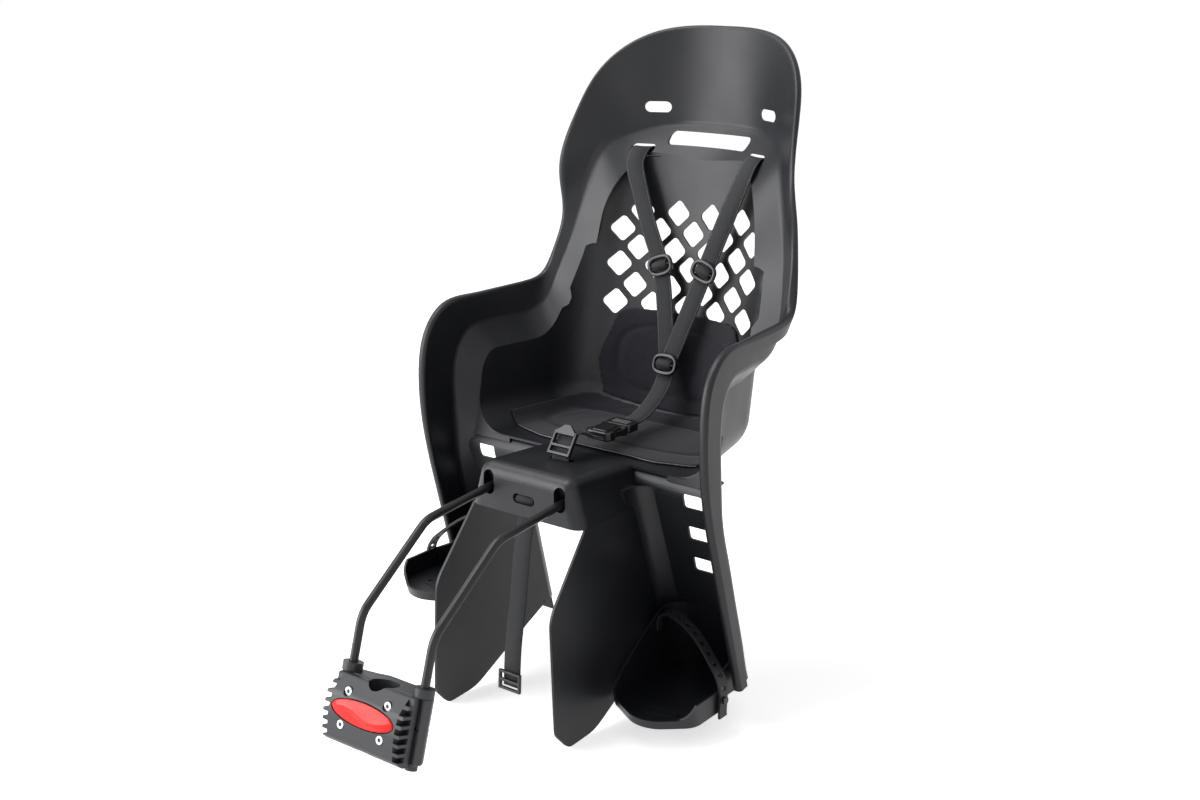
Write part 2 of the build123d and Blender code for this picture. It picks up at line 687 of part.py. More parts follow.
def make_ladder_studs(s):
    """Press studs that hold the strap's two ends to the foot cup."""
    inner = Pos(103.6, 374, -2) * Rot(0, 90, 0) * Cylinder(2.2, 8)
    inner += Pos(108.7, 374, -2) * Rot(0, 90, 0) * Cylinder(4.2, 2.4)
    inner += Pos(98.6, 374, -2) * Rot(0, 90, 0) * Cylinder(4.2, 2)
    outer = Pos(215, 340, -56) * Rot(0, 90, 0) * Cylinder(2.2, 10.8)
    outer += Pos(221.2, 340, -56) * Rot(0, 90, 0) * Cylinder(4.6, 2.6)
    outer += Pos(209.6, 340, -56) * Rot(0, 90, 0) * Cylinder(4.2, 2)
    both = Compound([inner, outer])
    return mirror(both, Plane.YZ) if s < 0 else both


def raised(s):
    """Where a footrest is set along its leg channel."""
    up = Vector(0, -leg_lean, 1).normalized()
    return Pos(up * foot_raise[0 if s > 0 else 1])


def pad_blank():
    return bucket_block(-pad_gap) - bucket_block(-pad_gap - pad_thickness)


def make_seat_pad(blank):
    half = [(86, 381), (142, 398), (172, 418), (160, 480), (120, 540)]
    points = [(-x, y) for x, y in half[::-1]] + half
    radii = [40, 30, 26, 24, 20]
    wire = rounded_wire([Vector(x, y, 150) for x, y in points], radii[::-1] + radii)
    y, z = bucket_back_y - bucket_floor_radius, pan_z + bucket_floor_radius
    side = [(300, 120), (y + 60, 120), (y + 60, z - 60), (y + 18, z - 18), (y - 13, z - 22),
            (300, pan_z + 17)]
    pad = blank & extrude(Face(wire), 120, dir=(0, 0, 1)) & across(side_face(side, [0] * 6), 300)
    return pad - Pos(0, 0, pad_gap) * pommel_block(wall)


def make_back_pad(blank):
    points = [(-96, 205), (96, 205), (112, 262), (90, 330), (-90, 330), (-112, 262)]
    wire = rounded_wire([Vector(x, 640, z) for x, z in points], [20, 20, 40, 22, 22, 40])
    y, z = bucket_back_y - bucket_floor_radius, pan_z + bucket_floor_radius
    side = [(y, z), (y + 75, z - 65), (700, z - 65), (700, 400), (y, 400)]
    return blank & extrude(Face(wire), 200, dir=(0, -1, 0)) & across(side_face(side, [0] * 5), 300)


def make_shoulder_strap(s):
    """Strap from its keeper, out through the slot and down to the junction ring."""
    reach = keeper_radius + 1.0 + web_thickness / 2
    x = s * belt_slot_x
    wrap = [(x, keeper_y + reach * math.cos(math.radians(a)), keeper_z + reach * math.sin(math.radians(a)))
            for a in (-60, -20, 20, 60)]
    ring_x = adjuster_left_x if s > 0 else adjuster_right_x
    front = 530.5 if s > 0 else 535.0
    points = wrap + [(x, 600, 533), (x, 594, 533.2), (x, 587, 530.4), (x - s, 578.5, 522.5),
                     (x - s * 2, 572.5, 513), (x - s * 15, 568.5, 480), (x - s * 31, 564.5, 438),
                     (ring_x, 559, 391), (ring_x * 0.55, 548 - 1.6 * s, 335), (ring_x * 0.1, front, 277)]
    slant = (1, -s * math.tan(math.radians(keeper_turn)), 0)
    return band(points, web_width, web_thickness, (1, 0, 0), 34, slant)


def make_keepers():
    return Compound([Pos(s * belt_slot_x, keeper_y, keeper_z) * Rot(0, 0, -s * keeper_turn) * Rot(0, 90, 0)
                     * Cylinder(keeper_radius, 44) for s in (-1, 1)])


def slider(width, height, thick, window):
    """Flat oval strap ring with a cross bar between two windows."""
    ring = extrude(RectangleRounded(width, height, height * 0.42), thick / 2, both=True)
    hole = extrude(RectangleRounded(window, height * 0.24, 2), thick, both=True)
    for v in (-1, 1):
        ring -= Pos(0, v * height * 0.21, 0) * hole
    return ring


def on_strap(shape, point, ahead, offset_y):
    """Lay a flat shape in front of a strap point, its height along the strap."""
    up = Vector(*ahead).normalized()
    flat = Vector(1, 0, 0) - up * up.X
    plane = Plane(origin=point, x_dir=flat.normalized(), z_dir=flat.normalized().cross(up))
    lift = plane.z_dir * (offset_y if plane.z_dir.Y < 0 else -offset_y)
    return Pos(*lift) * plane.location * shape


def make_adjuster(s):
    ring_x = adjuster_left_x if s > 0 else adjuster_right_x
    x = s * belt_slot_x
    ahead = (x - s * 31 - ring_x * 0.55, 565 - 548, 438 - 335)
    return on_strap(slider(38, 28, 3.5, 27), (ring_x, 559, 391), ahead, web_thickness / 2 + 2.7)


def make_junction():
    return on_strap(slider(38, 28, 3.5, 27), (0, 529.2, 271), (0, 0.293, 1), web_thickness / 2 + 2.4)


def make_lower_strap():
    return band(lower_points, web_width, web_thickness, (1, 0, 0), 14)


def make_crotch_strap():
    return band(crotch_points, web_width, web_thickness, (1, 0, 0), 22)


def make_crotch_keeper():
    return Pos(0, crotch_slot_y, 195.2) * Rot(0, 90, 0) * Cylinder(2.9, 44)


def make_ladder_lock():
    frame = extrude(RectangleRounded(33, 34, 4), 2.5, both=True)
    for v, tall in ((9, 7), (-2, 5), (-11, 5)):
        frame -= Pos(0, v, 0) * extrude(RectangleRounded(26, tall, 1.5), 5, both=True)
    return on_strap(frame, (0, 320.5, 218.5), (0, 15, 22), web_thickness / 2 + 3.0)


def make_buckle_female():
    body = Pos(8, 392, 218) * Box(38, 40, 12)
    body = fillet(body.edges(), 3)
    return body - Pos(8, 401, 218) * Box(29, 30, 7) - Pos(8, 372, 218) * Box(27, 8, 3)


def make_buckle_male():
    body = Pos(8, 425, 218) * Box(38, 25, 11)
    body = fillet(body.edges(), 3)
    body += Pos(8, 404, 218) * Box(26, 28, 5)
    return body - Pos(8, 438, 218) * Box(27, 8, 3)


def make_safety_strap():
    return band(safety_points, web_width, web_thickness, (1, 0, 0), 40)


def make_safety_fitting():
    frame = extrude(RectangleRounded(33, 24, 4), 2, both=True)
    for v in (-1, 1):
        frame -= Pos(0, v * 5.5, 0) * extrude(RectangleRounded(26, 6, 1.5), 5, both=True)
    return on_strap(frame, (0, 218, -48), (0, 2, 41), web_thickness / 2 + 3.0)


def make_safety_keeper():
    return Pos(0, 250.3, front_slot_z) * Rot(0, 90, 0) * Cylinder(3, 44)


def make_shell():
    """The left half is joined and cut, then doubled."""
    side = half_space()
    inner, keep = bucket_block(0) & side, behind_ledge()
    grown = bucket_block(wall) & keep & side
    guard = guard_outside() & side
    webs = pan_webs(inner) & side
    solid = make_rim() + [grown, leg_wall() & side, webs, guard, corner_band()]
    room = inner & Pos(0, 0, room_rise) * keep
    tunnel = (guard_inside() - saddle()) & side
    tools = [*rim_cuts(), *lattice_cuts(), *window_cuts(), *guard_cuts(), corner_room()]
    half = solid - [room, tunnel, *tools]
    return half.fuse(mirror(half, Plane.YZ), glue=True)


def make_nodes():
    blank = pad_blank()
    nodes = {
        "seat_shell": make_shell(),
        "carrier_bar": make_bar(),
        "bar_plate": make_bar_plate(),
        "bar_bolts": make_bar_bolts(),
        "bar_inserts": make_bar_inserts(),
        "clamp_front": make_clamp_front(),
        "clamp_rear": make_clamp_rear(),
        "clamp_screws": make_clamp_screws(),
        "clamp_nuts": make_clamp_nuts(),
        "release_button": make_button(),
        "button_springs": make_springs(),
        "seat_pad": make_seat_pad(blank),
        "back_pad": make_back_pad(blank),
        "strap_keepers": make_keepers(),
        "junction_ring": make_junction(),
        "lower_strap": make_lower_strap(),
        "crotch_strap": make_crotch_strap(),
        "crotch_keeper": make_crotch_keeper(),
        "ladder_lock": make_ladder_lock(),
        "buckle_female": make_buckle_female(),
        "buckle_male": make_buckle_male(),
        "safety_strap": make_safety_strap(),
        "safety_fitting": make_safety_fitting(),
        "safety_keeper": make_safety_keeper(),
    }
    for side, s in (("left", 1), ("right", -1)):
        nodes[f"lock_arm_{side}"] = make_lock_arm(s)
        height = raised(s)
        nodes[f"footrest_{side}"] = height * make_footrest(s)
        nodes[f"foot_strap_{side}"] = height * make_ladder_strap(s)
        nodes[f"foot_studs_{side}"] = height * make_ladder_studs(s)
        nodes[f"shoulder_strap_{side}"] = make_shoulder_strap(s)
        nodes[f"adjuster_{side}"] = make_adjuster(s)
    return nodes


if __name__ == "__main__":
    os.makedirs("parts", exist_ok=True)
    for name, shape in make_nodes().items():
        export_step(shape, f"parts/{name}.step")
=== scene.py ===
import json
import math

import bmesh
import bpy
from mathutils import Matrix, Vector


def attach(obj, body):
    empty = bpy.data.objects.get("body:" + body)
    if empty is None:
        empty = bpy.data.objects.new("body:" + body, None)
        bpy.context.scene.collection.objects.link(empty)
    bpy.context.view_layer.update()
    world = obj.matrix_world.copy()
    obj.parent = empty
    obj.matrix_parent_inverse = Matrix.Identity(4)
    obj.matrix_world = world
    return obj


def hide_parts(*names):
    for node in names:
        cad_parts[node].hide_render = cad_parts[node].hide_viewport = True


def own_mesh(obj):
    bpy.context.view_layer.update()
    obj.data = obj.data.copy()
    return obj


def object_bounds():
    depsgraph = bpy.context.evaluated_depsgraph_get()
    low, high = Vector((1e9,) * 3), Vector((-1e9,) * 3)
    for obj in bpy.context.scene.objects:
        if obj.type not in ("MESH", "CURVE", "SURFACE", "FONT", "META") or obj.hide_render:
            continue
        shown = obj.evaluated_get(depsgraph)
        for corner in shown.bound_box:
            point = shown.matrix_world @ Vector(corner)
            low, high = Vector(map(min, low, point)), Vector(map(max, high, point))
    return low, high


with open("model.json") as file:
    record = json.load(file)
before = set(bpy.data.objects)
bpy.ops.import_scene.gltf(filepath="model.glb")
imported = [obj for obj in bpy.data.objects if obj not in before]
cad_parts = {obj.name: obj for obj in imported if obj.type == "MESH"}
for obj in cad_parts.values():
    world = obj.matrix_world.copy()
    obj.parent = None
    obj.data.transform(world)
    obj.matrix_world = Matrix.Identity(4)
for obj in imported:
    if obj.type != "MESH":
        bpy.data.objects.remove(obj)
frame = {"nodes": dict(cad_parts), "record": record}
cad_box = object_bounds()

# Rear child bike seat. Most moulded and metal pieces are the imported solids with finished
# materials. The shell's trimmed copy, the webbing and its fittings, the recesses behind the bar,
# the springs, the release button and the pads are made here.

MM = 0.001
NODES = frame["nodes"]
scene = bpy.context.scene

# Sizes and places below are in millimetres, in the part's frame.
# Webbing, and the way it turns and is sewn.
WEB_WIDTH, WEB_THICK, WEB_EDGE = 25.0, 1.5, 0.6
ROUTE_ORDER, ROUTE_STEPS = 3, 10
TWIST_SHARE = 0.35
STITCH_PITCH, STITCH_LENGTH, STITCH_THICK = 2.6, 1.5, 0.45
STITCH_INSET, STITCH_LIFT = 1.9, 0.05
# Shoulder straps: keeper bar behind the back (y, z), slot in the back, turn of the slot.
KEEPER = (599.55, 526.0)
KEEPER_REACH = 6.75
BELT_SLOT_X = 85.0
SLOT_TURN = math.radians(20.7)
# For each side: its sign, the adjuster's x, and the y of the strap's lower end.
SHOULDERS = (("left", 1, 37.0, 530.5), ("right", -1, -29.0, 535.0))
ADJUSTER_AT = (559, 391)
STRAP_DRAW, STRAP_CLOSE = 31, 0.55
# Oval strap rings: outer size, band, roundness of outline and section, cross bar.
RING_WIDTH, RING_HEIGHT, RING_DEPTH, RING_BAND = 38.0, 28.0, 5.0, 5.4
RING_LIFT, RING_STEPS, RIM_STEPS = 3.4, 64, 12
RING_POWER, RIM_POWER = 0.72, 0.7
RING_BAR_TALL, RING_BAR_DEEP = 2.1, 1.7
FOLD_WIDTH = 22.0
# Slides at the ends of the crotch strap and the safety strap.
SLIDE_RAIL, SLIDE_LIFT, SLIDE_ROUND = 3.6, 3.75, 0.9
TAB_INSET, TAB_LAP, TAB_HALF = 2, 1, 4.5
TAB_FLOOR, TAB_ROOF = 1.2, 0.6
# Buckle: place of its two halves.
BUCKLE_X, BUCKLE_Z, SOCKET_Y, PLUG_Y = 8, 218, 392, 425
BODY_ROUND, DETAIL_ROUND = 1.8, 0.6
# Recesses behind the bar's holes.
POCKET_X, POCKET_Z, POCKET_TALL, POCKET_WIDE, POCKET_STEPS = 53, 182, 33.0, 19.0, 40
POCKET_FRONT, POCKET_FLOOR, POCKET_SLOPE, POCKET_WALL = 246.0, 248.6, 12.0, 1.2
POCKET_DRAFT = (0.97, 0.98)
# Clamp: lean of the seat tube.
TUBE_LEAN = math.radians(17.0)
# Release button: half sizes, height of its rim, dome, thumb ridge and skirt (y, scale).
BUTTON_X, BUTTON_Z, BUTTON_RINGS, BUTTON_STEPS = 45, 13, 22, 96
BUTTON_RIM, BUTTON_DOME = -27.2, 1.6
RIDGE_RISE, RIDGE_WIDTH, RIDGE_SWING, RIDGE_WAVES, RIDGE_SHIFT = 2.1, 0.4, -0.36, 1.15, 0.08
BUTTON_SKIRT = ((-26.7, 1.0), (-25.6, 0.99))
# Pads: remeshing, cloth, the strips held still, the pressed contour and the cut edge.
PAD_VOXEL, PAD_SHRINK, PAD_SWELL, PAD_SMOOTH, PAD_FILL = 2.5, 1.0, 3.0, 3, 0.5
CLOTH_PRESSURE, CLOTH_QUALITY, CLOTH_FRAMES = 4.0, 4, 20
HELD_EDGE, HELD_WELD, PAD_FACING = 6, 2.5, 0.35
WELD_DEPTH, WELD_WIDTH, WELD_POWER = 1.8, 2.4, 3.2
CUT_EDGE, CUT_BACK = 4, -0.8
# Shell: the strand's box in y and z, and the spare corners' box and new place in x and y.
STRAND_Y, STRAND_Z = (370, 374), (250.5, 254)
CORNER_X, CORNER_Y, CORNER_Z, CORNER_TO = 186, 401, (191, 196), (152, 384)
SHARP = math.radians(30)
MERGE, PAD_MERGE = 1e-6, 1e-5

# Picture: camera, and lamps as name, place, target and size in metres, and power in watts.
CAMERA_LENS, CAMERA_SENSOR, CAMERA_REACH = 48, 36, 50
CAMERA_PLACE, CAMERA_DIP, CAMERA_TURN = (1.121, -1.088, 0.811), 16.63, 37.17
FLOOR_HALF, FLOOR_DROP, FLOOR_LIFT, WORLD_LEVEL = 9, 0.5, 0.62, 0.45
LAMPS = (
    ("key", (-1.7, -1.7, 1.1), (0, 0.35, 0.35), 2.4, 98),
    ("top", (-0.9, -0.1, 2.3), (0, 0.4, 0.3), 1.5, 34),
    ("fill", (1.9, -1.7, 0.9), (0, 0.35, 0.3), 1.2, 5),
)


def hex_to_linear(text):
    """sRGB hex to linear RGBA."""
    parts = [int(text[i:i + 2], 16) / 255 for i in (0, 2, 4)]
    linear = (c / 12.92 if c <= 0.04045 else ((c + 0.055) / 1.055) ** 2.4 for c in parts)
    return tuple(linear) + (1.0,)


def add_node(tree, kind, settings=(), inputs=(), links=()):
    """One node: its settings, its socket values, and links from (node, output)."""
    node = tree.nodes.new(kind)
    for name, value in dict(settings).items():
        setattr(node, name, value)
    for name, value in dict(inputs).items():
        node.inputs[name].default_value = value
    for name, (source, output) in dict(links).items():
        tree.links.new(source.outputs[output], node.inputs[name])
    return node


def new_material(name, colour, roughness, **sockets):
    """A Principled material with its constant values on the shader's own sockets."""
    material = bpy.data.materials.new(name)
    material.use_nodes = True
    shader = material.node_tree.nodes["Principled BSDF"]
    shader.inputs["Base Color"].default_value = hex_to_linear(colour)
    shader.inputs["Roughness"].default_value = roughness
    for socket, value in sockets.items():
        shader.inputs[socket.replace("_", " ")].default_value = value
    return material, material.node_tree, shader


def noise(tree, where, grain_mm, detail, **more):
    """Noise with a grain in millimetres, in the piece's own frame."""
    inputs = {"Scale": 1 / (grain_mm * MM), "Detail": detail, **more}
    return add_node(tree, "ShaderNodeTexNoise", inputs=inputs, links={"Vector": (where, "Object")})


def two_tones(tree, dark, light, pattern):
    """Two colours mixed by a pattern."""
    return add_node(tree, "ShaderNodeMix", {"data_type": "RGBA"},
                    {6: hex_to_linear(dark), 7: hex_to_linear(light)}, {0: (pattern, "Fac")})


def vary_gloss(tree, shader, pattern, **span):
    """Roughness that follows a pattern."""
    inputs = {name.replace("_", " "): value for name, value in span.items()}
    gloss = add_node(tree, "ShaderNodeMapRange", inputs=inputs, links={"Value": (pattern, "Fac")})
    tree.links.new(gloss.outputs["Result"], shader.inputs["Roughness"])


def raise_grain(tree, shader, pattern, strength, depth_mm):
    """Bump that follows a pattern."""
    inputs = {"Strength": strength, "Distance": depth_mm * MM}
    bump = add_node(tree, "ShaderNodeBump", inputs=inputs, links={"Height": (pattern, "Fac")})
    tree.links.new(bump.outputs["Normal"], shader.inputs["Normal"])


def moulded_plastic(name, dark, light, roughness, grain_mm, grain_depth_mm, gloss=0.35):
    """Injection-moulded plastic: a fine tool grain, with slow flow marks in colour and gloss."""
    material, tree, shader = new_material(name, dark, roughness, IOR=1.49, Specular_IOR_Level=gloss)
    where = add_node(tree, "ShaderNodeTexCoord")
    flow = noise(tree, where, 70, 3.0)
    tint = two_tones(tree, dark, light, flow)
    tree.links.new(tint.outputs[2], shader.inputs["Base Color"])
    vary_gloss(tree, shader, flow, From_Min=0.3, From_Max=0.7, To_Min=roughness - 0.04,
               To_Max=roughness + 0.04)
    raise_grain(tree, shader, noise(tree, where, grain_mm, 2.0), 0.4, grain_depth_mm)
    return material


def metal(name, colour, roughness, grain_mm):
    """Metal with a fine uneven finish in its gloss."""
    material, tree, shader = new_material(name, colour, roughness, Metallic=1.0)
    grain = noise(tree, add_node(tree, "ShaderNodeTexCoord"), grain_mm, 4.0)
    vary_gloss(tree, shader, grain, To_Min=roughness - 0.08, To_Max=roughness + 0.12)
    return material


def felt():
    """Needled polyester felt on foam: matt, with fibre flecks and a soft edge sheen."""
    material, tree, shader = new_material("needled_felt", "1c1c21", 0.95, Sheen_Weight=0.12,
                                          Sheen_Roughness=0.5, Specular_IOR_Level=0.2)
    where = add_node(tree, "ShaderNodeTexCoord")
    fibre = noise(tree, where, 1.3, 6.0, Roughness=0.7)
    cloud = noise(tree, where, 14, 2.0)
    fleck = two_tones(tree, "131317", "2b2a32", fibre)
    worn = add_node(tree, "ShaderNodeMix", {"data_type": "RGBA", "blend_type": "MULTIPLY"},
                    {0: 0.35}, {6: (fleck, 2), 7: (cloud, "Fac")})
    tree.links.new(worn.outputs[2], shader.inputs["Base Color"])
    raise_grain(tree, shader, fibre, 0.8, 0.35)
    return material


def flecked(name, dark, light, roughness, grain_mm):
    """Cut foam or spun thread: two tones in a fine grain that also roughens the surface."""
    material, tree, shader = new_material(name, dark, roughness)
    grain = noise(tree, add_node(tree, "ShaderNodeTexCoord"), grain_mm, 3.0)
    tone = two_tones(tree, dark, light, grain)
    tree.links.new(tone.outputs[2], shader.inputs["Base Color"])
    raise_grain(tree, shader, grain, 0.5, 0.1)
    return material


def woven_webbing():
    """Woven polyester twill: slanting ribs, drawn at 1.5 mm so that they show, on a black yarn."""
    material, tree, shader = new_material("woven_webbing", "151517", 0.72, Sheen_Weight=0.05,
                                          Specular_IOR_Level=0.3)
    where = add_node(tree, "ShaderNodeUVMap", {"uv_map": "weave"})
    period = 1.5 * MM
    rib = add_node(tree, "ShaderNodeTexWave", {"wave_type": "BANDS", "bands_direction": "DIAGONAL"},
                   {"Scale": 0.628 / period, "Distortion": 0.6, "Detail": 1.0, "Detail Scale": 3.0},
                   {"Vector": (where, "UV")})
    yarn = two_tones(tree, "0d0d0f", "2c2d30", rib)
    tree.links.new(yarn.outputs[2], shader.inputs["Base Color"])
    raise_grain(tree, shader, rib, 0.7, 0.3)
    return material


MATERIALS = {
    # Polypropylene shell: satin, almost black, with a tool grain that breaks the highlights.
    "shell_plastic": moulded_plastic("moulded_polypropylene", "121317", "16171b", 0.4, 0.9, 0.05),
    # Powder coat over steel rod: satin black with a slight orange peel.
    "bar_steel": moulded_plastic("powder_coat", "0f0f11", "131315", 0.34, 2.2, 0.08, 0.4),
    # Glass-filled nylon plate and clamp: greyer and drier than the shell.
    "plate_plastic": moulded_plastic("filled_nylon_plate", "16171a", "1c1d20", 0.5, 0.7, 0.06),
    "clamp_plastic": moulded_plastic("filled_nylon", "1d1e22", "26272c", 0.46, 0.7, 0.06, 0.45),
    # Glossy red ABS button.
    "red_plastic": moulded_plastic("red_abs", "c9140f", "d41a13", 0.22, 6.0, 0.02, 0.25),
    # Zinc-plated steel: bright and slightly blue, with a fine uneven gloss.
    "bright_steel": metal("zinc_plate", "a3a6ab", 0.34, 1.2),
    # Turned brass.
    "brass": metal("turned_brass", "c9a45c", 0.3, 1.0),
    # Polypropylene footrest: as the shell, a little glossier.
    "foot_plastic": moulded_plastic("footrest_polypropylene", "101115", "141519", 0.38, 0.9, 0.05),
    # Soft thermoplastic rubber of the ladder straps.
    "strap_rubber": moulded_plastic("strap_elastomer", "17171b", "1d1d21", 0.48, 0.8, 0.05),
    # Acetal strap fittings: smooth, black, half gloss.
    "fitting_plastic": moulded_plastic("acetal", "101012", "151517", 0.3, 1.4, 0.03, 0.45),
    "pad_felt": felt(),
    "webbing": woven_webbing(),
}
# Cut edge of the pad's foam, paler than its felt.
FOAM_EDGE = flecked("foam_edge", "66666c", "88888e", 0.9, 1.1)
# Polyester sewing thread, grey against the black webbing.
THREAD = flecked("sewing_thread", "7a7b7f", "9c9da1", 0.7, 0.4)

for part in frame["record"]["subparts"]:
    slots = NODES[part["node"]].data.materials
    slots.clear()
    slots.append(MATERIALS[part["material_slot"]])


def finish_piece(name, mesh, slot, body, *replaced, smooth=True):
    """Put a mesh in the scene as a piece of a body, with its slot's material."""
    piece = bpy.data.objects.new(name, mesh)
    scene.collection.objects.link(piece)
    if not mesh.materials:
        mesh.materials.append(MATERIALS[slot])
    for polygon in mesh.polygons:
        polygon.use_smooth = smooth
    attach(piece, body)
    if replaced:
        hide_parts(*replaced)
    return piece


def to_mesh(build, name):
    """Hand over a mesh under construction."""
    mesh = bpy.data.meshes.new(name)
    build.to_mesh(mesh)
    build.free()
    return mesh


def facing_out(build, name):
    """Hand over a mesh under construction, with its faces turned outward."""
    bmesh.ops.recalc_face_normals(build, faces=build.faces)
    return to_mesh(build, name)


def merged_copy(node, merge):
    """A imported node's mesh under construction, with its doubled points merged."""
    build = bmesh.new()
    build.from_mesh(NODES[node].data)
    bmesh.ops.remove_doubles(build, verts=build.verts, dist=merge)
    return build


def plain_mesh(holder):
    """The evaluated mesh of an object with its modifiers applied."""
    depsgraph = bpy.context.evaluated_depsgraph_get()
    return bpy.data.meshes.new_from_object(holder.evaluated_get(depsgraph))


def turns(steps):
    """Angles once round, in even steps."""
    return [2 * math.pi * k / steps for k in range(steps)]


def bridge(build, near, far):
    """Faces between two closed loops of points."""
    count = len(near)
    return [build.faces.new((near[i], near[(i + 1) % count], far[(i + 1) % count], far[i]))
            for i in range(count)]


def mirrored(half):
    """A closed outline from its half at positive x."""
    return half + [(-x, y) for x, y in half[::-1]]


def make_shell():
    """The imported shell, less a hair-thin strand, with two spare corners of its pan drawn in."""
    source = NODES["seat_shell"].data
    build = bmesh.new()
    build.from_mesh(source)
    origin = build.faces.layers.int.new("origin")
    for face in build.faces:
        face[origin] = face.index + 1

    def in_strand(spot):
        return (STRAND_Y[0] < spot.y / MM < STRAND_Y[1]
                and STRAND_Z[0] < spot.z / MM < STRAND_Z[1])

    strand = [face for face in build.faces if all(in_strand(v.co) for v in face.verts)]
    bmesh.ops.delete(build, geom=strand, context="FACES")
    for vertex in build.verts:
        x, y, z = vertex.co
        level = CORNER_Z[0] * MM < z < CORNER_Z[1] * MM
        if level and abs(x) > CORNER_X * MM and y > CORNER_Y * MM:
            vertex.co.x = math.copysign(CORNER_TO[0] * MM, x)
            vertex.co.y = CORNER_TO[1] * MM
    bmesh.ops.remove_doubles(build, verts=build.verts, dist=MERGE)
    bmesh.ops.holes_fill(build, edges=[e for e in build.edges if e.is_boundary], sides=8)
    mesh = to_mesh(build, "seat_shell_trimmed")

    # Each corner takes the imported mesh's normal, found by the face that it came from.
    corners = []
    numbers = [item.value for item in mesh.attributes["origin"].data]
    for polygon, number in zip(mesh.polygons, numbers):
        loops = source.polygons[number - 1].loop_indices if number else ()
        for index in polygon.vertices:
            spot = mesh.vertices[index].co

            def away(i):
                return (source.vertices[source.loops[i].vertex_index].co - spot).length_squared

            near = min(loops, key=away, default=None)
            known = near is not None
            corners.append(source.corner_normals[near].vector if known else polygon.normal)
    mesh.attributes.remove(mesh.attributes["origin"])
    finish_piece("seat_shell_trimmed", mesh, "shell_plastic", "seat", "seat_shell")
    mesh.normals_split_custom_set([tuple(corner) for corner in corners])


def smooth_route(points):
    """Points along the NURBS spline of a route whose control points are in millimetres."""
    curve = bpy.data.curves.new("route", "CURVE")
    curve.dimensions = "3D"
    curve.resolution_u = ROUTE_STEPS
    spline = curve.splines.new("NURBS")
    spline.points.add(len(points) - 1)
    for knot, point in zip(spline.points, points):
        knot.co = (*[c * MM for c in point], 1.0)
    spline.order_u = ROUTE_ORDER
    spline.use_endpoint_u = True
    holder = bpy.data.objects.new("route", curve)
    scene.collection.objects.link(holder)
    mesh = bpy.data.meshes.new_from_object(holder)
    line = [v.co.copy() for v in mesh.vertices]
    bpy.data.objects.remove(holder)
    bpy.data.curves.remove(curve)
    bpy.data.meshes.remove(mesh)
    return line


def strap_frames(line, side, start_side=None):
    """Place, sideways direction, outward direction and run at each point of a strap's line."""
    frames, run = [], 0.0
    total = sum((b - a).length for a, b in zip(line, line[1:]))
    for i, point in enumerate(line):
        ahead = (line[min(i + 1, len(line) - 1)] - line[max(i - 1, 0)]).normalized()
        share = max(0.0, 1 - run / total / TWIST_SHARE) if start_side else 0.0
        wide = Vector(side) * (1 - share) + Vector(start_side or side) * share
        flat = (wide - ahead * wide.dot(ahead)).normalized()
        frames.append((point, flat, flat.cross(ahead), run))
        if i + 1 < len(line):
            run += (line[i + 1] - point).length
    return frames


def strap_mesh(name, frames, width=WEB_WIDTH):
    """Flat strap with rounded edges, and a weave map in metres across and along."""
    half, edge = width / 2 * MM, WEB_THICK / 2 * MM
    inner = half - edge * WEB_EDGE
    profile = [(-half, 0), (-inner, edge), (-half / 2, edge), (0, edge), (half / 2, edge),
               (inner, edge), (half, 0), (inner, -edge), (0, -edge), (-inner, -edge)]
    across = [u for u, _ in profile]
    build = bmesh.new()
    weave = build.loops.layers.uv.new("weave")
    rings = [[build.verts.new(p + flat * u + out * h) for u, h in profile]
             for p, flat, out, _ in frames]
    for first, second, start, stop in zip(rings, rings[1:], frames, frames[1:]):
        faces = bridge(build, first, second)
        for face, u, v in zip(faces, across, across[1:] + across[:1]):
            spots = ((u, start[3]), (v, start[3]), (v, stop[3]), (u, stop[3]))
            for loop, spot in zip(face.loops, spots):
                loop[weave].uv = spot
    build.faces.new(rings[0])
    build.faces.new(rings[-1][::-1])
    return facing_out(build, name)


def add_strap(name, frames, *replaced, width=WEB_WIDTH):
    """A length of webbing on the seat's body."""
    return finish_piece(name, strap_mesh(name, frames, width), "webbing", "seat", *replaced)


